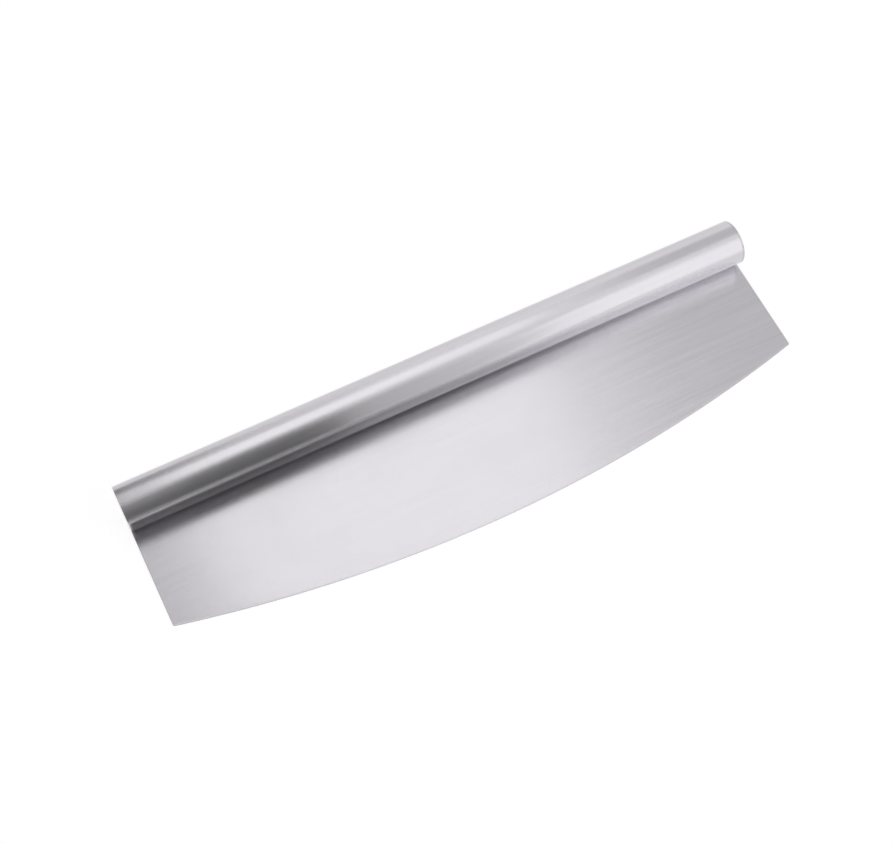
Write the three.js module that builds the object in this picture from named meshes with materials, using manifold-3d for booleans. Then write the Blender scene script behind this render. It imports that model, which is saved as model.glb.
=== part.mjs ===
// A rocking pizza cutter: a wide sheet-steel blade with a bowed cutting edge, under a hollow rolled
// handle of the same length. It lies on the flat back of its blade, handle upwards.
// X runs along the handle, Y from the cutting edge to the handle, Z up. Sizes are in millimetres.
// The origin is on the surface that it lies on, under the middle of its outline.
import Module from "manifold-3d";
import * as THREE from "three";
import { mergeVertices } from "three/addons/utils/BufferGeometryUtils.js";

// Driving sizes of the handle and the blade
const LENGTH = 350; // handle and blade alike, end to end
const HANDLE_DIAMETER = 24;
const HANDLE_WALL = 1;
const BLADE_THICKNESS = 1;
const CORNER_DROP = 62.3; // from the handle's axis down to the blade's lower corners
const EDGE_BOW = 20.3; // how much lower the cutting edge is in the middle than at the corners
const CORNER_RADIUS = 0.8;
const FRONT_BEVEL = 1; // width of the shallow grind along the cutting edge on the front
const FRONT_GRIND = 0.06; // depth of that grind at the edge
const BACK_BEVEL = 2; // width of the main grind on the back
const EDGE_LAND = 0.3; // thickness left at the cutting edge itself

// Driving sizes of the end caps
const CAP_SHEET = 1.2; // thickness of the disc that closes the handle
const CAP_ROUND = 0.4; // ground edge of the disc
const SPIGOT_DEPTH = 4; // length of the ring that centres the cap in the handle's bore
const SPIGOT_WALL = 1.2;
const CAP_CLEARANCE = 0.1; // round the ring, and between the disc and the handle's end

// Driving sizes of the two seams
const BUTT_GAP = 1; // root opening between the blade's top edge and the handle's first edge
const FILLET_LEG = 1.6;
const FILLET_HOLLOW = 0.2; // how far the fillet's face dips towards its root
const WELD_END = 0.6; // the beads stop this far short of both ends
const WELD_CLEARANCE = 0.1;

// Fineness of the round stretches
const HANDLE_STEPS = 60;
const EDGE_STEPS = 60;
const CORNER_STEPS = 3;
const CAP_STEPS = 60;
const ROUND_STEPS = 2;
const WELD_STEPS = 4;

// Sizes that follow from those above
const HANDLE_RADIUS = HANDLE_DIAMETER / 2;
const BORE_RADIUS = HANDLE_RADIUS - HANDLE_WALL;
const HALF_LENGTH = LENGTH / 2;
const EDGE_DROP = CORNER_DROP + EDGE_BOW;
const EDGE_RADIUS = (HALF_LENGTH ** 2 + EDGE_BOW ** 2) / (2 * EDGE_BOW);
const AXIS_Y = (EDGE_DROP - HANDLE_RADIUS) / 2; // puts the outline's middle over the origin
const STRAIGHT_DOWN = 1.5 * Math.PI;

const steel = (name, color, roughness) =>
  new THREE.MeshStandardMaterial({ name, color, roughness, metalness: 1 });
const bladeSteel = steel("blade_steel", 0xd6d4d9, 0.3);
const handleSteel = steel("handle_steel", 0xcfcdd2, 0.26);
const capSteel = steel("cap_steel", 0xc4c2c7, 0.34);
const weldSteel = steel("weld_steel", 0xaeacb1, 0.45);

// Sections are drawn in local x and y, about the handle's axis line on the ground, and run along
// local z. The turn lays local x on Y, local y on Z and local z on X.
const lengthwise = new THREE.Group();
lengthwise.quaternion.set(0.5, 0.5, 0.5, 0.5);
lengthwise.position.set(0, AXIS_Y, 0);

function addPiece(name, geometry, material) {
  const piece = new THREE.Mesh(geometry, material);
  piece.name = name;
  lengthwise.add(piece);
  return piece;
}

// A section carried straight along the handle, evenly to both sides of the middle.
function extrudeAlong(section, depth, curveSegments) {
  const geometry = new THREE.ExtrudeGeometry(section, { depth, curveSegments, bevelEnabled: false });
  return geometry.translate(0, 0, -depth / 2);
}

// One closed solid through a row of like rings of points, with a flat face over each end.
function loft(rings) {
  const count = rings[0].length;
  const points = rings.flat();
  const faces = [];
  for (let i = 0; i + 1 < rings.length; i++) {
    for (let j = 0; j < count; j++) {
      const here = i * count + j;
      const beside = i * count + ((j + 1) % count);
      faces.push(here, beside, beside + count, here, beside + count, here + count);
    }
  }
  const far = points.length - count;
  for (const [a, b, c] of THREE.ShapeUtils.triangulateShape(rings[0], [])) {
    faces.push(c, b, a, far + a, far + b, far + c);
  }
  return new THREE.BufferGeometry().setFromPoints(points).setIndex(faces);
}

// Blade: flat sheet whose lower edge is one shallow arc, ground mostly from the back

function edgeHeight(z) {
  const arc = -EDGE_DROP + EDGE_RADIUS - Math.sqrt(EDGE_RADIUS ** 2 - z ** 2);
  const past = Math.abs(z) - (HALF_LENGTH - CORNER_RADIUS);
  const intoCorner = THREE.MathUtils.clamp(past, 0, CORNER_RADIUS);
  return arc + CORNER_RADIUS - Math.sqrt(CORNER_RADIUS ** 2 - intoCorner ** 2);
}

function bladeSection(z) {
  const top = -BUTT_GAP / 2;
  const edge = edgeHeight(z);
  const squareToEdge = EDGE_RADIUS / Math.sqrt(EDGE_RADIUS ** 2 - z ** 2);
  const frontShoulder = edge + FRONT_BEVEL * squareToEdge;
  const backShoulder = edge + BACK_BEVEL * squareToEdge;
  const landFront = BLADE_THICKNESS - FRONT_GRIND;
  const landBack = landFront - EDGE_LAND;
  return [
    new THREE.Vector3(top, 0, z),
    new THREE.Vector3(top, BLADE_THICKNESS, z),
    new THREE.Vector3(frontShoulder, BLADE_THICKNESS, z),
    new THREE.Vector3(edge, landFront, z),
    new THREE.Vector3(edge, landBack, z),
    new THREE.Vector3(backShoulder, 0, z),
  ];
}

// Stations along the edge: even over the arc, then closing up round each lower corner.
function bladeStations() {
  const straight = HALF_LENGTH - CORNER_RADIUS;
  const stations = [];
  for (let i = 0; i <= EDGE_STEPS; i++) {
    stations.push(straight * ((2 * i) / EDGE_STEPS - 1));
  }
  for (let i = 1; i <= CORNER_STEPS; i++) {
    const z = straight + CORNER_RADIUS * Math.sin((0.5 * Math.PI * i) / CORNER_STEPS);
    stations.push(z);
    stations.unshift(-z);
  }
  return stations;
}

addPiece("blade", loft(bladeStations().map(bladeSection)), bladeSteel);

// Handle: sheet rolled round from its butt on the blade's top edge until its lip meets the blade's face

function handleGeometry() {
  const firstEdge = STRAIGHT_DOWN + Math.asin(BUTT_GAP / 2 / BORE_RADIUS) - 2 * Math.PI;
  const lipHeight = BLADE_THICKNESS + WELD_CLEARANCE;
  const lip = STRAIGHT_DOWN - Math.acos((HANDLE_RADIUS - lipHeight) / HANDLE_RADIUS);
  const roll = new THREE.Shape();
  roll.absarc(0, HANDLE_RADIUS, HANDLE_RADIUS, firstEdge, lip, false);
  roll.absarc(0, HANDLE_RADIUS, BORE_RADIUS, lip, firstEdge, true);
  roll.closePath();
  const depth = LENGTH - 2 * (CAP_SHEET + CAP_CLEARANCE);
  return extrudeAlong(roll, depth, HANDLE_STEPS);
}

addPiece("handle_tube", handleGeometry(), handleSteel);

// End caps: a disc over the handle's end, notched to sit on the blade, with a ring that enters the bore

const wasm = await Module();
wasm.setup();

function solidOf(geometry) {
  const bare = geometry.clone();
  bare.deleteAttribute("normal");
  bare.deleteAttribute("uv");
  const merged = mergeVertices(bare);
  const vertProperties = merged.attributes.position.array;
  const triVerts = new Uint32Array(merged.index.array);
  return new wasm.Manifold(new wasm.Mesh({ numProp: 3, vertProperties, triVerts }));
}

function cutAway(body, tool) {
  const cut = solidOf(body).subtract(solidOf(tool)).getMesh();
  return new THREE.BufferGeometry()
    .setAttribute("position", new THREE.BufferAttribute(cut.vertProperties, 3))
    .setIndex(new THREE.BufferAttribute(cut.triVerts, 1));
}

// The disc's inner face is at height 0, its outer face above it, and the ring reaches below.
function capBody() {
  const ringOutside = BORE_RADIUS - CAP_CLEARANCE;
  const ringInside = ringOutside - SPIGOT_WALL;
  const round = Math.min(CAP_ROUND, CAP_SHEET);
  const profile = new THREE.Path();
  profile.moveTo(0, 0);
  profile.lineTo(ringInside, 0);
  profile.lineTo(ringInside, -SPIGOT_DEPTH);
  profile.lineTo(ringOutside, -SPIGOT_DEPTH);
  profile.lineTo(ringOutside, 0);
  profile.lineTo(HANDLE_RADIUS, 0);
  profile.lineTo(HANDLE_RADIUS, CAP_SHEET - round);
  profile.absarc(HANDLE_RADIUS - round, CAP_SHEET - round, round, 0, Math.PI / 2, false);
  profile.lineTo(0, CAP_SHEET);
  return new THREE.LatheGeometry(profile.getPoints(ROUND_STEPS), CAP_STEPS);
}

// Everything below the blade's front face, out to the handle's first edge, is left to the blade.
function bladeNotch() {
  const height = BLADE_THICKNESS + WELD_CLEARANCE;
  const width = HANDLE_RADIUS + BUTT_GAP / 2;
  const notch = new THREE.BoxGeometry(width, 2 * height, 2 * (CAP_SHEET + SPIGOT_DEPTH));
  return notch.translate(BUTT_GAP / 2 - width / 2, -HANDLE_RADIUS, 0);
}

for (const [name, side] of [["end_cap_left", -1], ["end_cap_right", 1]]) {
  const body = capBody().rotateX((side * Math.PI) / 2);
  const cap = addPiece(name, cutAway(body, bladeNotch()), capSteel);
  cap.position.set(0, HANDLE_RADIUS, side * (HALF_LENGTH - CAP_SHEET));
}

// Seams: a fillet bead in the crease on the front, and a butt bead ground flush on the back

function filletSection() {
  const reach = HANDLE_RADIUS + WELD_CLEARANCE;
  const floor = BLADE_THICKNESS + WELD_CLEARANCE;
  const rootAngle = Math.acos((HANDLE_RADIUS - floor) / reach);
  const toeAngle = rootAngle + FILLET_LEG / reach;
  const root = new THREE.Vector2(-reach * Math.sin(rootAngle), floor);
  const toeHeight = HANDLE_RADIUS - reach * Math.cos(toeAngle);
  const handleToe = new THREE.Vector2(-reach * Math.sin(toeAngle), toeHeight);
  const bladeToe = new THREE.Vector2(root.x - FILLET_LEG, floor);
  const dip = handleToe.clone().lerp(bladeToe, 0.5);
  dip.add(root.clone().sub(dip).setLength(FILLET_HOLLOW));
  const section = new THREE.Shape();
  section.absarc(0, HANDLE_RADIUS, reach, STRAIGHT_DOWN - rootAngle, STRAIGHT_DOWN - toeAngle, true);
  section.quadraticCurveTo(dip.x, dip.y, bladeToe.x, bladeToe.y);
  section.closePath();
  return section;
}

function buttSection() {
  const half = BUTT_GAP / 2 - WELD_CLEARANCE;
  const section = new THREE.Shape();
  section.moveTo(-half, 0);
  section.lineTo(half, 0);
  section.lineTo(half, BLADE_THICKNESS);
  section.lineTo(-half, BLADE_THICKNESS);
  section.closePath();
  return section;
}

const BEAD_LENGTH = LENGTH - 2 * WELD_END;
addPiece("front_seam_weld", extrudeAlong(filletSection(), BEAD_LENGTH, WELD_STEPS), weldSteel);
addPiece("rear_seam_weld", extrudeAlong(buttSection(), BEAD_LENGTH, WELD_STEPS), weldSteel);

const cutter = new THREE.Group();
cutter.add(lengthwise);

export default cutter;
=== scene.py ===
import math

import bmesh
import bpy
import numpy as np
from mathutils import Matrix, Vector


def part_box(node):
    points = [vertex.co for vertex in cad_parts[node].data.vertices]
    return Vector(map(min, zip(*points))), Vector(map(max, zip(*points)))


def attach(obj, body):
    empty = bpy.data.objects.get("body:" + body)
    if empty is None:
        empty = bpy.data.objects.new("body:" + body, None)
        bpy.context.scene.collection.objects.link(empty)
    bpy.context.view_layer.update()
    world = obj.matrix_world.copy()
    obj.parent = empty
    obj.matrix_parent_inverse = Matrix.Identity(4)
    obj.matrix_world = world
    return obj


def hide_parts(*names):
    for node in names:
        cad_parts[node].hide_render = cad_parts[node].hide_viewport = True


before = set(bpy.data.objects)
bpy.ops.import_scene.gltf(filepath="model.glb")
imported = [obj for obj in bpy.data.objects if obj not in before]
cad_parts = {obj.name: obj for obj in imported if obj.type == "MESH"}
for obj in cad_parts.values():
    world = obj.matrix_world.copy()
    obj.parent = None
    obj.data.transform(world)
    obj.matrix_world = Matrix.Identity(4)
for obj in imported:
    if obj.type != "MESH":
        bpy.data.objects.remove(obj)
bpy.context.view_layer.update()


# Blade
# A flat piece of 1 mm stainless sheet with straight sheared sides and a bowed lower edge. The edge is
# ground mostly from the back, with a narrow shallow bevel on the front, and the sides and the lower
# corners are eased with a file.

blade_low, blade_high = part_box("blade")
half_length = blade_high.x
blade_thickness = blade_high.z
blade_top = blade_high.y
edge_middle = blade_low.y
edge_bow = 0.0203
corner_radius = 0.0008
side_ease = 0.00015
front_bevel = 0.0010
front_grind = 0.00006
back_bevel = 0.0020
edge_land = 0.00030
edge_round = 0.00003
shoulder_blend = 0.3
edge_steps = 240
corner_steps = 8
face_rows = 12
bevel_steps = 6

edge_radius = (half_length**2 + edge_bow**2) / (2 * edge_bow)


def edge_height(x):
    """Y of the cutting edge at each x: one shallow circular arc, lifted at both ends by the quarter
    circle that rounds the lower corner."""
    arc = edge_middle + edge_radius - np.sqrt(edge_radius**2 - x**2)
    past = np.clip(np.abs(x) - (half_length - corner_radius), 0, corner_radius)
    return arc + corner_radius - np.sqrt(corner_radius**2 - past**2)


def blade_stations():
    """The x of each section: even along the arc, then closing up as the sine over each corner."""
    straight = half_length - corner_radius
    turn = straight + corner_radius * np.sin(np.linspace(0, math.pi / 2, corner_steps + 1)[1:])
    return np.concatenate([-turn[::-1], np.linspace(-straight, straight, edge_steps + 1), turn])


def ground_face(x, bevel, grind):
    """One face of the sheet from its top to the edge, as the y of each point and its depth below the
    face: flat down to the shoulder, a parabola over the shoulder's blend, then straight, and at last the
    small chamfer that takes the burr off the land."""
    edge = edge_height(x)
    shoulder = edge + bevel * edge_radius / np.sqrt(edge_radius**2 - x**2)
    rise = np.linspace(1, 0, face_rows)[None, :]
    into = np.linspace(0, 1, bevel_steps + 1)[None, 1:]
    face_y = shoulder + (blade_top - shoulder) * rise
    bevel_y = shoulder + (edge + edge_round - shoulder) * into
    rolled = np.minimum(into, shoulder_blend)
    fall = (rolled**2 / (2 * shoulder_blend) + into - rolled) / (1 - shoulder_blend / 2)
    depth = np.concatenate([np.zeros(face_rows), grind * fall[0], [grind + edge_round]])
    return np.hstack([face_y, bevel_y, edge]), depth


def blade_rings():
    """One ring of points round the sheet's section at each station: down the back face, round the cutting
    edge and up the front face. At the sides both faces draw in along a quarter circle, which eases the
    sheared edge."""
    x = blade_stations()[:, None]
    back_y, back_depth = ground_face(x, back_bevel, blade_thickness - front_grind - edge_land)
    front_y, front_depth = ground_face(x, front_bevel, front_grind)
    y = np.hstack([back_y, front_y[:, ::-1]])
    z = np.broadcast_to(np.concatenate([back_depth, blade_thickness - front_depth[::-1]]), y.shape)
    past = np.clip(np.abs(x) - (half_length - side_ease), 0, side_ease)
    inset = side_ease - np.sqrt(side_ease**2 - past**2)
    z = np.clip(z, inset, blade_thickness - inset)
    return np.stack([np.broadcast_to(x, y.shape), y, z], axis=-1)


def skin(name, rings, sharp_angle=15, second_finish=None):
    """One closed surface through a row of like rings of points: a four-sided face between each two
    neighbours on each two rings that follow one another, and a flat face over the first and the last.
    The stretch of each ring that second_finish marks takes the piece's second material."""
    merge_distance = 2e-7
    rows, count = rings.shape[:2]
    index = np.arange(rows * count).reshape(rows, count)
    beside = np.roll(index, -1, axis=1)
    quads = np.stack([index[:-1], index[1:], beside[1:], beside[:-1]], axis=-1).reshape(-1, 4)
    faces = quads.tolist() + [index[0].tolist(), index[-1, ::-1].tolist()]
    mesh = bpy.data.meshes.new(name)
    mesh.from_pydata(rings.reshape(-1, 3).tolist(), [], faces)
    mesh.polygons.foreach_set("use_smooth", np.ones(len(faces), dtype=bool))
    if second_finish is not None:
        finish = np.concatenate([np.tile(second_finish, rows - 1), [0, 0]])
        mesh.polygons.foreach_set("material_index", finish.astype(np.int32))
    closed = bmesh.new()
    closed.from_mesh(mesh)
    bmesh.ops.remove_doubles(closed, verts=closed.verts, dist=merge_distance)
    closed.to_mesh(mesh)
    closed.free()
    mesh.set_sharp_from_angle(angle=math.radians(sharp_angle))
    piece = bpy.data.objects.new(name, mesh)
    bpy.context.scene.collection.objects.link(piece)
    return piece


def drawn_noise(tree, size, detail, turn=0.0):
    """Noise between 0 and 1, drawn out to about the given size along X, Y and Z and turned about Z."""
    place = tree.nodes.new("ShaderNodeTexCoord")
    drawn = tree.nodes.new("ShaderNodeMapping")
    drawn.vector_type = "TEXTURE"
    drawn.inputs["Rotation"].default_value = (0, 0, turn)
    drawn.inputs["Scale"].default_value = size
    noise = tree.nodes.new("ShaderNodeTexNoise")
    noise.inputs["Scale"].default_value = 1.0
    noise.inputs["Detail"].default_value = detail
    tree.links.new(place.outputs["Object"], drawn.inputs["Vector"])
    tree.links.new(drawn.outputs["Vector"], noise.inputs["Vector"])
    return noise.outputs["Fac"]


def spread(tree, value, low, high, to_low, to_high):
    """Carries a value from one range to another in a straight line, held at both ends."""
    node = tree.nodes.new("ShaderNodeMapRange")
    tree.links.new(value, node.inputs["Value"])
    for socket, number in (("From Min", low), ("From Max", high), ("To Min", to_low), ("To Max", to_high)):
        node.inputs[socket].default_value = number
    return node.outputs["Result"]


def worked_out(tree, operation, first, second):
    """One step of arithmetic on two values."""
    node = tree.nodes.new("ShaderNodeMath")
    node.operation = operation
    tree.links.new(first, node.inputs[0])
    tree.links.new(second, node.inputs[1])
    return node.outputs["Value"]


def two_tone(tree, share, first, second):
    """The colour between two that lies at the given share of the way, from 0 to 1."""
    share_socket = 0
    first_socket = 6
    second_socket = 7
    colour_socket = 2
    node = tree.nodes.new("ShaderNodeMix")
    node.data_type = "RGBA"
    node.inputs[first_socket].default_value = (*first, 1.0)
    node.inputs[second_socket].default_value = (*second, 1.0)
    tree.links.new(share, node.inputs[share_socket])
    return node.outputs[colour_socket]


def relief(tree, height, depth, under=None):
    """Bump of that depth from a height between 0 and 1, over the bump underneath it."""
    node = tree.nodes.new("ShaderNodeBump")
    node.inputs["Strength"].default_value = 1.0
    node.inputs["Distance"].default_value = depth
    tree.links.new(height, node.inputs["Height"])
    if under:
        tree.links.new(under, node.inputs["Normal"])
    return node.outputs["Normal"]


def use_marks(tree, turn):
    """Sparse fine scratches of use: the thin lines along which long noise crosses its middle value, each
    a tent from 1 on the line to 0 beside it, and only where a second, patchy noise is high."""
    mark_size = (0.050, 0.005, 0.005)
    patch_size = (0.030, 0.018, 0.018)
    middle = 0.500
    half_line = 0.012
    patch_start = 0.54
    patch_full = 0.64
    noise = drawn_noise(tree, mark_size, detail=0.0, turn=turn)
    rising = spread(tree, noise, middle - half_line, middle, 0.0, 1.0)
    falling = spread(tree, noise, middle, middle + half_line, 1.0, 0.0)
    line = worked_out(tree, "MULTIPLY", rising, falling)
    patch = drawn_noise(tree, patch_size, detail=1.0, turn=turn)
    marked = spread(tree, patch, patch_start, patch_full, 0.0, 1.0)
    return worked_out(tree, "MULTIPLY", line, marked)


def brushed_steel(name, colour, roughness, anisotropy, along, grain, grain_depth, wave_depth, tone_swing):
    """Stainless steel brushed along one axis. Streaks of the grain's length and width vary the tone and
    the gloss, finer ones between them are the scratches of the belt, and wide soft noise is the sheet's
    slight waviness and where hands have wiped it. Anisotropy stretches the gloss across the grain."""
    gloss_swing = 0.018
    smudge = 0.035
    mark_depth = 1.5e-6
    mark_turns = (0.35, -0.22)
    wipe_size = (0.045, 0.030, 0.030)
    wipe_start = 0.45
    wipe_full = 0.75
    wave_size = (0.110, 0.080, 0.080)
    band_dark = 0.3
    band_light = 0.7
    quarter_turn = 0.25
    length, width = grain
    scratch_length = length / 3
    scratch_width = width / 5
    material = bpy.data.materials.new(name)
    material.use_nodes = True
    tree = material.node_tree
    shader = tree.nodes["Principled BSDF"]
    shader.inputs["Metallic"].default_value = 1.0
    shader.inputs["Anisotropic"].default_value = anisotropy
    shader.inputs["Anisotropic Rotation"].default_value = 0.0 if along == "X" else quarter_turn
    across = tree.nodes.new("ShaderNodeTangent")
    across.direction_type = "RADIAL"
    across.axis = "X"
    tree.links.new(across.outputs["Tangent"], shader.inputs["Tangent"])
    band_size = [length if axis == along else width for axis in "XYZ"]
    scratch_size = [scratch_length if axis == along else scratch_width for axis in "XYZ"]
    band = drawn_noise(tree, band_size, detail=5.0)
    scratch = drawn_noise(tree, scratch_size, detail=3.0)
    wiped = drawn_noise(tree, wipe_size, detail=2.0)
    wave = drawn_noise(tree, wave_size, detail=1.0)
    marks = worked_out(tree, "ADD", *(use_marks(tree, turn) for turn in mark_turns))
    darker = [(1 - tone_swing) * part for part in colour]
    lighter = [(1 + tone_swing) * part for part in colour]
    tone = two_tone(tree, spread(tree, band, band_dark, band_light, 0.0, 1.0), darker, lighter)
    tree.links.new(tone, shader.inputs["Base Color"])
    gloss = spread(tree, band, band_dark, band_light, roughness - gloss_swing, roughness + gloss_swing)
    dulled = spread(tree, wiped, wipe_start, wipe_full, 0.0, smudge)
    tree.links.new(worked_out(tree, "ADD", gloss, dulled), shader.inputs["Roughness"])
    normal = relief(tree, wave, wave_depth)
    normal = relief(tree, band, grain_depth, under=normal)
    normal = relief(tree, scratch, grain_depth, under=normal)
    normal = relief(tree, marks, mark_depth, under=normal)
    tree.links.new(normal, shader.inputs["Normal"])
    return material


blade_brushed = brushed_steel(
    "blade_brushed", colour=(0.63, 0.615, 0.645), roughness=0.20, anisotropy=0.8, along="X",
    grain=(0.060, 0.0016), grain_depth=0.8e-6, wave_depth=0.00020, tone_swing=0.020,
)
bevel_ground = brushed_steel(
    "bevel_ground", colour=(0.64, 0.63, 0.655), roughness=0.25, anisotropy=0.5, along="Y",
    grain=(0.008, 0.0006), grain_depth=0.8e-6, wave_depth=0.00002, tone_swing=0.010,
)
bevel_rows = 2 * (bevel_steps + 1)
on_bevel = np.zeros(2 * face_rows + bevel_rows)
on_bevel[face_rows - 1:face_rows + bevel_rows] = 1
blade = skin("blade_sheet", blade_rings(), sharp_angle=8, second_finish=on_bevel)
blade.data.materials.append(blade_brushed)
blade.data.materials.append(bevel_ground)
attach(blade, "root")
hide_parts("blade")


# Handle
# The same sheet rolled into a hollow tube. It starts on the blade's top edge at the back, goes round
# over the top and comes down to a lip on the blade's front face. Both ends are buffed slightly round.

tube_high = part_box("handle_tube")[1]
tube_radius = tube_high.z / 2
axis_y = tube_high.y - tube_radius
axis_z = tube_radius
tube_wall = 0.0010
bore_radius = tube_radius - tube_wall
butt_gap = 0.0010
lip_gap = 0.0001
cap_sheet = 0.0012
cap_joint = half_length - cap_sheet
seam_ease = 0.00004
buff_length = 0.0050
buff_depth = 0.00005
roll_steps = 240
tube_stations = 60
buff_steps = 12

first_edge = math.asin(butt_gap / 2 / bore_radius) - math.pi / 2
lip_angle = 1.5 * math.pi - math.acos((tube_radius - blade_thickness - lip_gap) / tube_radius)


def buffed(x):
    """How far the buffing wheel has drawn the outside in at each x: nothing along the tube, then a
    parabola over the last few millimetres."""
    into = np.clip((np.abs(x) - (half_length - buff_length)) / buff_length, 0, 1)
    return buff_depth * into**2


def on_axis(x, radius, angle):
    """Points at that radius and angle round the handle's axis; angle 0 faces +Y and a quarter turn up."""
    y = axis_y + radius * np.cos(angle)
    z = axis_z + radius * np.sin(angle)
    return np.stack(np.broadcast_arrays(x, y, z), axis=-1)


def handle_rings():
    """The wall's long thin section, outside and bore, carried round the roll from edge to lip. The outside
    falls away by a small chamfer where each end meets its cap, which leaves a hairline seam."""
    inner = half_length - buff_length
    fade = np.linspace(inner, cap_joint - seam_ease, buff_steps + 1)[1:]
    end = np.append(fade, cap_joint)
    x = np.concatenate([-end[::-1], np.linspace(-inner, inner, tube_stations + 1), end])
    chamfer = np.clip(np.abs(x) - (cap_joint - seam_ease), 0, seam_ease)
    along = np.concatenate([x, x[::-1]])
    radius = np.concatenate([tube_radius - buffed(x) - chamfer, np.full(len(x), bore_radius)])
    angle = np.linspace(first_edge, lip_angle, roll_steps + 1)[:, None]
    return on_axis(along[None, :], radius[None, :], angle)


handle_brushed = brushed_steel(
    "handle_brushed", colour=(0.63, 0.615, 0.645), roughness=0.17, anisotropy=0.85, along="X",
    grain=(0.060, 0.0016), grain_depth=0.8e-6, wave_depth=0.00008, tone_swing=0.022,
)
handle = skin("rolled_handle", handle_rings())
handle.data.materials.append(handle_brushed)
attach(handle, "root")
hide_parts("handle_tube")


# Front seam
# A small fillet bead laid by hand in the crease between the handle's lip and the blade's front face. It
# is left as welded and only wire-brushed, so its fine ripples and a faint heat tint still show.

fillet_leg = 0.0016
fillet_hollow = 0.0002
fillet_sink = 0.00003
leg_swing = 0.05
ripple_pitch = 0.0012
ripple_height = 0.00005
ripple_lag = 2.2
stations_per_ripple = 6
bead_stop = 0.0006
bead_end = half_length - bead_stop
bead_taper = 0.0012
least_leg = 0.2
fillet_face_steps = 8
fillet_arc_steps = 3


def hand_swing(x, slow, quick, quick_share, offset):
    """The unsteadiness of a hand along X: a slow sine with a share of a quicker one on it."""
    return np.sin(x / slow) + quick_share * np.sin(x / quick + offset)


def fillet_legs(x):
    """Leg of the bead at each x: the full leg with the swing of a hand, and rounded off at both ends as a
    quarter ellipse."""
    swing = hand_swing(x, slow=0.0091, quick=0.0037, quick_share=0.7, offset=2.0)
    past = np.clip((np.abs(x) - (bead_end - bead_taper)) / bead_taper, 0, 1)
    return fillet_leg * (1 + leg_swing * swing) * np.maximum(np.sqrt(1 - past**2), least_leg)


def fillet_rings():
    """The bead's section at each station: from the root along the blade to the lower toe, up the hollow
    face to the upper toe as a parabola, and back to the root along the handle. Ripples stand on the face
    as a cosine along X that lags in the middle, and die out at both toes as the sine."""
    ripples = round(2 * bead_end / ripple_pitch)
    x = np.linspace(-bead_end, bead_end, ripples * stations_per_ripple + 1)[:, None]
    leg = fillet_legs(x)
    reach = tube_radius - fillet_sink
    floor_z = blade_thickness - fillet_sink
    root = 1.5 * math.pi - math.acos((tube_radius - floor_z) / reach)
    arc = root - np.linspace(1, 0, fillet_arc_steps + 1)[None, :] * leg / reach
    arc_y = reach * np.cos(arc)
    arc_z = axis_z + reach * np.sin(arc)
    toe_y = arc_y[:, -1:] - leg
    u = np.linspace(0, 1, fillet_face_steps + 1)[None, :-1]
    chord_y = toe_y + (arc_y[:, :1] - toe_y) * u
    chord_z = floor_z + (arc_z[:, :1] - floor_z) * u
    crown = np.sin(math.pi * u)
    phase = 2 * math.pi * x / ripple_pitch
    phase = phase + hand_swing(x, slow=0.0130, quick=0.0047, quick_share=0.6, offset=1.0)
    ripple = ripple_height * crown * (0.5 + 0.5 * np.cos(phase + ripple_lag * crown))
    dip = ripple - 2 * fillet_hollow * u * (1 - u) * leg / fillet_leg
    run_y = arc_y[:, :1] - toe_y
    run_z = arc_z[:, :1] - floor_z
    run = np.hypot(run_y, run_z)
    face_y = chord_y - dip * run_z / run
    face_z = chord_z + dip * run_y / run
    y = axis_y + np.hstack([face_y, arc_y])
    z = np.hstack([face_z, arc_z])
    return np.stack([np.broadcast_to(x, y.shape), y, z], axis=-1)


def weld_steel(name, colour, tint, roughness, bead_grain):
    """Weld metal: steel of a duller gloss that comes and goes in spots, with a heat tint in patches and
    the short strokes of a wire brush."""
    stroke_depth = 2.0e-6
    gloss_swing = 0.06
    tint_size = (0.012, 0.002, 0.002)
    tint_start = 0.42
    tint_full = 0.68
    spot_size = (0.0012, 0.0006, 0.0006)
    spot_bright = 0.3
    spot_dull = 0.7
    material = bpy.data.materials.new(name)
    material.use_nodes = True
    tree = material.node_tree
    shader = tree.nodes["Principled BSDF"]
    shader.inputs["Metallic"].default_value = 1.0
    patch = drawn_noise(tree, tint_size, detail=3.0)
    spots = drawn_noise(tree, spot_size, detail=4.0)
    strokes = drawn_noise(tree, bead_grain, detail=3.0)
    tone = two_tone(tree, spread(tree, patch, tint_start, tint_full, 0.0, 1.0), colour, tint)
    tree.links.new(tone, shader.inputs["Base Color"])
    gloss = spread(tree, spots, spot_bright, spot_dull, roughness - gloss_swing, roughness + gloss_swing)
    tree.links.new(gloss, shader.inputs["Roughness"])
    tree.links.new(relief(tree, strokes, stroke_depth), shader.inputs["Normal"])
    return material


bead_brushed = weld_steel(
    "bead_brushed", colour=(0.56, 0.545, 0.565), tint=(0.54, 0.50, 0.46), roughness=0.34,
    bead_grain=(0.0010, 0.0002, 0.0002),
)
front_bead = skin("front_seam_bead", fillet_rings(), sharp_angle=40)
front_bead.data.materials.append(bead_brushed)
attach(front_bead, "root")
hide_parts("front_seam_weld")


# Rear seam
# A butt weld that fills the gap between the blade's top edge and the handle's first edge. Its outside is
# ground flush with the blade's back, so the cutter lies flat, and its inside stays a low crown.

butt_hollow = 0.000015
butt_crown = 0.00025
butt_sink = 0.00003
butt_mean = 0.5
butt_swing = 0.3
butt_stations = 360
butt_steps = 8


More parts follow.
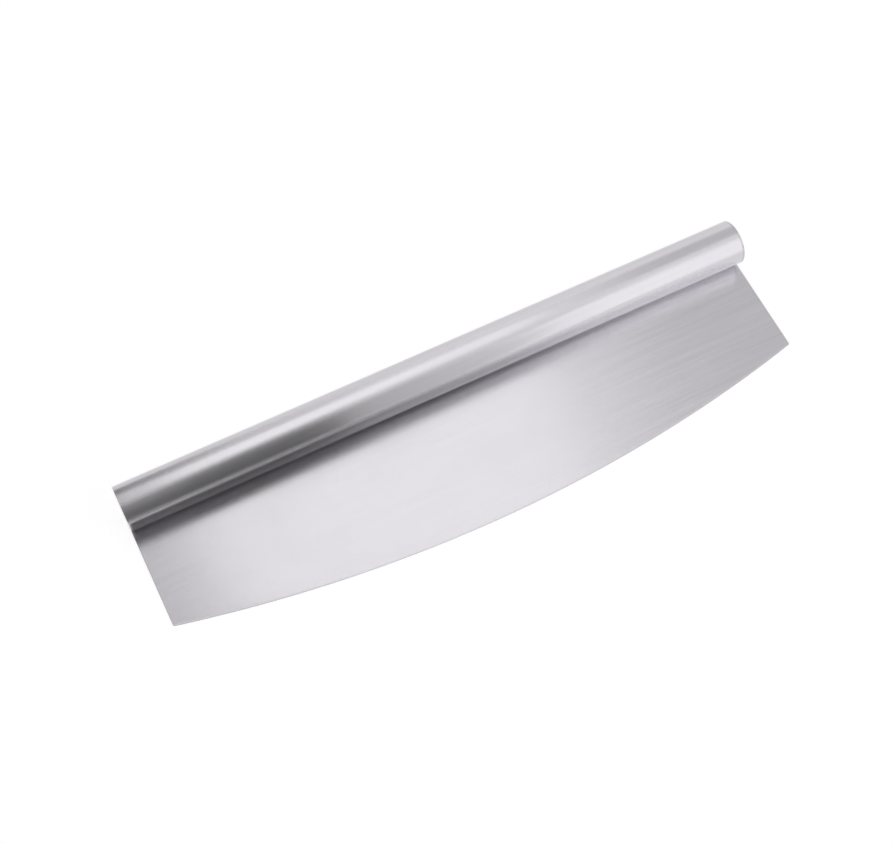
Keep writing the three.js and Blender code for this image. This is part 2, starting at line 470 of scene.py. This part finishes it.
def butt_rings():
    """The bead's section at each station: across the ground face, which dips by a few hundredths as a
    parabola that comes and goes along X, and back over the inner crown, another parabola."""
    x = np.linspace(-bead_end, bead_end, butt_stations + 1)[:, None]
    u = np.linspace(-1, 1, butt_steps + 1)[None, :]
    near_y = -butt_gap / 2
    far_y = butt_gap / 2 * tube_radius / bore_radius
    far_z = axis_z - math.sqrt(tube_radius**2 - far_y**2)
    face_y = near_y + (far_y - near_y) * (u + 1) / 2
    swing = hand_swing(x, slow=0.0052, quick=0.0019, quick_share=2 / 3, offset=0.7)
    come_and_go = butt_mean + butt_swing * swing
    face_z = far_z * (u + 1) / 2 + butt_hollow * come_and_go * (1 - u**2)
    crown_y = face_y[:, ::-1] + butt_sink * -np.sign(u)
    crown_z = blade_thickness + butt_crown * come_and_go * (1 - u**2)
    y = axis_y + np.hstack([np.broadcast_to(face_y, face_z.shape), np.broadcast_to(crown_y, face_z.shape)])
    z = np.hstack([face_z, crown_z])
    rings = np.stack([np.broadcast_to(x, y.shape), y, z], axis=-1)
    return rings[:, ::-1]


butt_ground = weld_steel(
    "butt_ground", colour=(0.60, 0.585, 0.61), tint=(0.58, 0.55, 0.53), roughness=0.28,
    bead_grain=(0.0002, 0.0030, 0.0002),
)
rear_bead = skin("rear_seam_bead", butt_rings(), sharp_angle=40)
rear_bead.data.materials.append(butt_ground)
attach(rear_bead, "root")
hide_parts("rear_seam_weld")


# End caps
# A steel disc over each end of the handle, notched to sit on the blade and welded on, with the rim
# ground round. A ring on its inside centres it in the bore.

cap_round = 0.0004
cap_crown = 0.0001
ring_gap = 0.0001
ring_wall = 0.0012
ring_depth = 0.0040
round_steps = 10
cap_face_steps = 6
cap_centre = 0.02
notch_steps = 24
notch_gap = 0.00002
ring_outside = bore_radius - ring_gap
ring_inside = ring_outside - ring_wall
notch_drop = tube_radius - blade_thickness - notch_gap


def cap_outline():
    """The angle and the greatest radius of each ray from the axis: the full circle over the roll, then
    the straight notch that clears the blade, where the radius is the notch's distance over the cosine."""
    roll = np.linspace(first_edge, lip_angle, roll_steps + 1)
    notch = np.linspace(lip_angle, first_edge + 2 * math.pi, notch_steps + 1)[1:]
    reach = notch_drop / np.cos(notch - 1.5 * math.pi)
    return np.concatenate([roll, notch]), np.concatenate([np.full(len(roll), tube_radius), reach])


def cap_rings(side):
    """The cap's profile turned round the axis: a face that is crowned as a shallow parabola, quarter round
    at the rim, side, chamfer at the seam, inner face and centring ring. Each ray stops at the outline.
    Depth is from the middle of the face."""
    angle, reach = cap_outline()
    out = np.linspace(cap_centre, 1, cap_face_steps)
    turn = np.linspace(0, math.pi / 2, round_steps + 1)[1:]
    rim = tube_radius - buffed(cap_joint)
    radius = np.concatenate([
        (rim - cap_round) * out,
        rim - cap_round + cap_round * np.sin(turn),
        [rim, rim - seam_ease, ring_outside, ring_outside, ring_inside, ring_inside],
    ])
    ring_foot = cap_sheet + ring_depth
    depth = np.concatenate([
        cap_crown * (out**2 - cap_centre**2),
        cap_crown + cap_round * (1 - np.cos(turn)),
        [cap_sheet - seam_ease, cap_sheet, cap_sheet, ring_foot, ring_foot, cap_sheet],
    ])
    x = side * (half_length - depth)
    within = np.minimum(radius[:, None], reach[None, :] - (rim - radius[:, None]).clip(0, cap_round))
    rings = on_axis(x[:, None], within, angle[None, :])
    return rings if side > 0 else rings[:, ::-1]


cap_ground = brushed_steel(
    "cap_ground", colour=(0.60, 0.585, 0.615), roughness=0.24, anisotropy=0.4, along="Y",
    grain=(0.020, 0.0005), grain_depth=1.0e-6, wave_depth=0.00002, tone_swing=0.040,
)
for cap_name, cap_side in (("end_cap_left", -1), ("end_cap_right", 1)):
    cap = skin(cap_name + "_disc", cap_rings(cap_side))
    cap.data.materials.append(cap_ground)
    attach(cap, "root")
    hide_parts(cap_name)


# Studio
# A white light tent on a white floor, with a wide lamp overhead, another to the right and a dark opening
# on the camera's side. Grey cards, which only reflections show, give the steel its darker stripes. Cards
# that only light bounced between the handle and the blade shows paint shade into the crease under the
# handle, and one paints light into it on the right. The camera looks down over the cutting edge.

camera_place = (-0.1731, -0.2730, 0.7171)
camera_turn = (24.643, -1.531, -26.699)
camera_lens = 62.0

lens = bpy.data.cameras.new("camera")
lens.lens = camera_lens
lens.sensor_width = 36.0
lens.clip_start = 0.01
lens.clip_end = 100.0
camera = bpy.data.objects.new("camera", lens)
camera.location = camera_place
camera.rotation_euler = [math.radians(angle) for angle in camera_turn]
bpy.context.scene.collection.objects.link(camera)
bpy.context.scene.camera = camera
bpy.context.scene.view_settings.view_transform = "Standard"

tent_glow = 0.35
floor_glow = 0.70
floor_white = (0.80, 0.80, 0.80, 1.0)
floor_half = 4.0
floor_gap = 0.0002


def seen_white(tree):
    """1 for a ray that shows the background, straight, mirrored or through glass, and 0 for others."""
    path = tree.nodes.new("ShaderNodeLightPath")
    mirrored = worked_out(tree, "ADD", path.outputs["Is Camera Ray"], path.outputs["Is Glossy Ray"])
    return worked_out(tree, "ADD", mirrored, path.outputs["Is Transmission Ray"])


world = bpy.data.worlds.new("light_tent")
bpy.context.scene.world = world
world.use_nodes = True
background = world.node_tree.nodes["Background"]
background.inputs["Color"].default_value = (1.0, 1.0, 1.0, 1.0)
world_level = spread(world.node_tree, seen_white(world.node_tree), 0.0, 1.0, tent_glow, 1.0)
world.node_tree.links.new(world_level, background.inputs["Strength"])

floor_mesh = bpy.data.meshes.new("floor")
floor_mesh.from_pydata(
    [(x * floor_half, y * floor_half, -floor_gap) for x, y in ((-1, -1), (1, -1), (1, 1), (-1, 1))],
    [],
    [(0, 1, 2, 3)],
)
floor = bpy.data.objects.new("floor", floor_mesh)
bpy.context.scene.collection.objects.link(floor)
floor_paint = bpy.data.materials.new("floor_white")
floor_paint.use_nodes = True
floor_tree = floor_paint.node_tree
floor_tree.nodes.clear()
matt = floor_tree.nodes.new("ShaderNodeBsdfDiffuse")
matt.inputs["Color"].default_value = floor_white
shine = floor_tree.nodes.new("ShaderNodeEmission")
both = floor_tree.nodes.new("ShaderNodeAddShader")
surface = floor_tree.nodes.new("ShaderNodeOutputMaterial")
floor_level = spread(floor_tree, seen_white(floor_tree), 0.0, 1.0, 0.0, floor_glow)
floor_tree.links.new(floor_level, shine.inputs["Strength"])
floor_tree.links.new(matt.outputs["BSDF"], both.inputs[0])
floor_tree.links.new(shine.outputs["Emission"], both.inputs[1])
floor_tree.links.new(both.outputs["Shader"], surface.inputs["Surface"])
floor_mesh.materials.append(floor_paint)


def round_the_axis(x, distance, lean):
    """A place at that distance from the handle's axis, leaning from the zenith towards the cutting edge."""
    return np.stack(
        np.broadcast_arrays(x, axis_y - distance * np.sin(lean), axis_z + distance * np.cos(lean)), axis=-1
    )


def softbox(name, x, distance, lean, width, depth, radiance):
    """A flat lamp facing the handle's axis. Its power is pi times its area times its radiance."""
    lamp = bpy.data.lights.new(name, "AREA")
    lamp.shape = "RECTANGLE"
    lamp.size = width
    lamp.size_y = depth
    lamp.energy = math.pi * width * depth * radiance
    light = bpy.data.objects.new(name, lamp)
    light.location = round_the_axis(x, distance, math.radians(lean))
    light.rotation_euler = (math.radians(lean), 0, 0)
    light.visible_camera = False
    bpy.context.scene.collection.objects.link(light)


softbox("lamp_overhead", x=0.19, distance=1.5, lean=-22, width=0.62, depth=1.00, radiance=0.28)
softbox("lamp_right", x=0.95, distance=1.5, lean=54, width=0.90, depth=2.05, radiance=0.30)


def feathered(value, ends, fades):
    """1 between the two ends, falling to 0 at each as a smooth cubic over its own fade."""
    up = np.clip((value - ends[0]) / fades[0], 0, 1)
    down = np.clip((ends[1] - value) / fades[1], 0, 1)
    return up * up * (3 - 2 * up) * down * down * (3 - 2 * down)


def grey_card(name, points, veil, shade, bounces=1):
    """A grey card through a grid of points, which only reflections show. At each point it hides what is
    behind it by the share that veil gives. A card for the crease under the handle shows only in light
    that has bounced at least that many times between the handle and the blade. Such a card paints shade
    into the crease, or light where its shade is above 1."""
    rows, count = veil.shape
    index = np.arange(rows * count).reshape(rows, count)
    quads = np.stack([index[:-1, :-1], index[1:, :-1], index[1:, 1:], index[:-1, 1:]], axis=-1)
    mesh = bpy.data.meshes.new(name)
    mesh.from_pydata(points.reshape(-1, 3).tolist(), [], quads.reshape(-1, 4).tolist())
    mesh.attributes.new("veil", "FLOAT", "POINT").data.foreach_set("value", veil.ravel())
    card = bpy.data.objects.new(name, mesh)
    card.visible_camera = False
    card.visible_diffuse = False
    card.visible_shadow = False
    bpy.context.scene.collection.objects.link(card)
    paint = bpy.data.materials.new(name)
    paint.use_nodes = True
    tree = paint.node_tree
    tree.nodes.clear()
    share = tree.nodes.new("ShaderNodeAttribute")
    share.attribute_name = "veil"
    clear = tree.nodes.new("ShaderNodeBsdfTransparent")
    grey = tree.nodes.new("ShaderNodeEmission")
    grey.inputs["Color"].default_value = (shade, shade, shade, 1.0)
    mix = tree.nodes.new("ShaderNodeMixShader")
    out = tree.nodes.new("ShaderNodeOutputMaterial")
    amount = share.outputs["Fac"]
    if bounces > 1:
        path = tree.nodes.new("ShaderNodeLightPath")
        deep = spread(tree, path.outputs["Glossy Depth"], bounces - 1, bounces, 0.0, 1.0)
        amount = worked_out(tree, "MULTIPLY", amount, deep)
    tree.links.new(amount, mix.inputs["Fac"])
    tree.links.new(clear.outputs["BSDF"], mix.inputs[1])
    tree.links.new(grey.outputs["Emission"], mix.inputs[2])
    tree.links.new(mix.outputs["Shader"], out.inputs["Surface"])
    mesh.materials.append(paint)


card_rows = 80


def tent_card(name, distance, x_ends, x_fades, lean_ends, lean_fades, shade, hide, bounces=1):
    """A card bent on a cylinder round the handle's axis, feathered along X and round the axis."""
    x = np.linspace(*x_ends, card_rows)[:, None]
    lean = np.linspace(*lean_ends, card_rows)[None, :]
    veil = hide * feathered(x, x_ends, x_fades) * feathered(lean, lean_ends, lean_fades)
    grey_card(name, round_the_axis(x, distance, np.radians(lean)), veil, shade, bounces)


def floor_card(name, height, x_ends, x_fades, y_ends, y_fades, shade, hide, bounces=1):
    """A flat card just above the floor, feathered along X and Y."""
    x = np.linspace(*x_ends, card_rows)[:, None]
    y = np.linspace(*y_ends, card_rows)[None, :]
    veil = hide * feathered(x, x_ends, x_fades) * feathered(y, y_ends, y_fades)
    grey_card(name, np.stack(np.broadcast_arrays(x, y, height), axis=-1), veil, shade, bounces)


def end_card(name, x, y_ends, y_fades, z_ends, z_fades, shade, hide):
    """An upright card beyond one end of the handle, feathered along Y and Z."""
    y = np.linspace(*y_ends, card_rows)[:, None]
    z = np.linspace(*z_ends, card_rows)[None, :]
    veil = hide * feathered(y, y_ends, y_fades) * feathered(z, z_ends, z_fades)
    grey_card(name, np.stack(np.broadcast_arrays(x, y, z), axis=-1), veil, shade)


tent_card(
    "tent_opening", distance=1.40, x_ends=(-1.6, 0.165), x_fades=(0.6, 0.03),
    lean_ends=(-10, 89.5), lean_fades=(36, 2), shade=0.12, hide=0.78,
)
tent_card(
    "tent_opening_deep", distance=1.41, x_ends=(-1.6, 0.165), x_fades=(0.6, 0.03),
    lean_ends=(20, 89.5), lean_fades=(46, 2), shade=0.12, hide=0.70,
)
tent_card(
    "tent_opening_side", distance=1.45, x_ends=(-0.10, 0.62), x_fades=(0.05, 0.46),
    lean_ends=(-2, 89), lean_fades=(26, 2), shade=0.62, hide=1.00,
)
tent_card(
    "tent_roof_right", distance=1.45, x_ends=(0.52, 1.6), x_fades=(0.20, 0.2),
    lean_ends=(-66, 0), lean_fades=(20, 14), shade=0.60, hide=0.75,
)
tent_card(
    "tent_roof_left", distance=1.45, x_ends=(-1.6, -0.02), x_fades=(0.2, 0.20),
    lean_ends=(-60, 12), lean_fades=(20, 8), shade=0.55, hide=0.62,
)
tent_card(
    "tent_back_left", distance=1.42, x_ends=(-1.6, 0.08), x_fades=(0.2, 0.32),
    lean_ends=(-89, -40), lean_fades=(6, 20), shade=0.20, hide=0.90,
)
tent_card(
    "tent_back", distance=1.43, x_ends=(-1.6, 0.40), x_fades=(0.2, 0.36),
    lean_ends=(-89, -36), lean_fades=(6, 16), shade=0.30, hide=0.20,
)
# Painted shade in the crease under the handle: dark cards that only light bounced between the handle and
# the blade shows, darkest on the left.
tent_card(
    "crease_shade_left", distance=1.30, x_ends=(-1.6, 0.33), x_fades=(0.2, 0.3),
    lean_ends=(46, 89), lean_fades=(24, 2), shade=0.08, hide=0.70, bounces=2,
)
tent_card(
    "crease_shade_under", distance=1.32, x_ends=(-1.6, 0.36), x_fades=(0.2, 0.3),
    lean_ends=(-60, 28), lean_fades=(20, 12), shade=0.08, hide=0.70, bounces=2,
)
# Painted light in the crease on the right: a card brighter than white, seen only in light bounced twice
# between the handle and the blade.
tent_card(
    "crease_light_right", distance=1.31, x_ends=(0.36, 1.6), x_fades=(0.34, 0.2),
    lean_ends=(-60, 89), lean_fades=(20, 2), shade=1.60, hide=0.80, bounces=2,
)
# Painted shade in the deepest part of the crease, seen only in light bounced three times.
tent_card(
    "crease_shade_deep", distance=1.27, x_ends=(-1.6, 0.70), x_fades=(0.2, 0.5),
    lean_ends=(-80, 89.5), lean_fades=(20, 1), shade=0.10, hide=0.85, bounces=3,
)
floor_card(
    "floor_shade", height=0.0004, x_ends=(-0.9, 0.16), x_fades=(0.2, 0.2),
    y_ends=(-0.8, -0.055), y_fades=(0.2, 0.03), shade=0.15, hide=0.92,
)
floor_card(
    "floor_shade_back", height=0.0004, x_ends=(-0.9, 0.9), x_fades=(0.2, 0.2),
    y_ends=(0.06, 0.9), y_fades=(0.03, 0.3), shade=0.40, hide=0.14,
)
# Painted shade in the crease, a floor card seen only in light bounced three times.
floor_card(
    "crease_shade_floor", height=0.0005, x_ends=(-1.2, 0.75), x_fades=(0.2, 0.6),
    y_ends=(-1.1, -0.048), y_fades=(0.1, 0.01), shade=0.10, hide=0.75, bounces=3,
)
end_card(
    "tent_end_left", x=-1.9, y_ends=(-1.4, 1.4), y_fades=(0.4, 0.4),
    z_ends=(0.0, 1.0), z_fades=(0.05, 0.7), shade=0.25, hide=0.70,
)
end_card(
    "tent_end_right", x=4.0, y_ends=(-7.0, 7.0), y_fades=(0.6, 0.6),
    z_ends=(0.0, 4.5), z_fades=(0.1, 3.2), shade=0.22, hide=0.75,
)
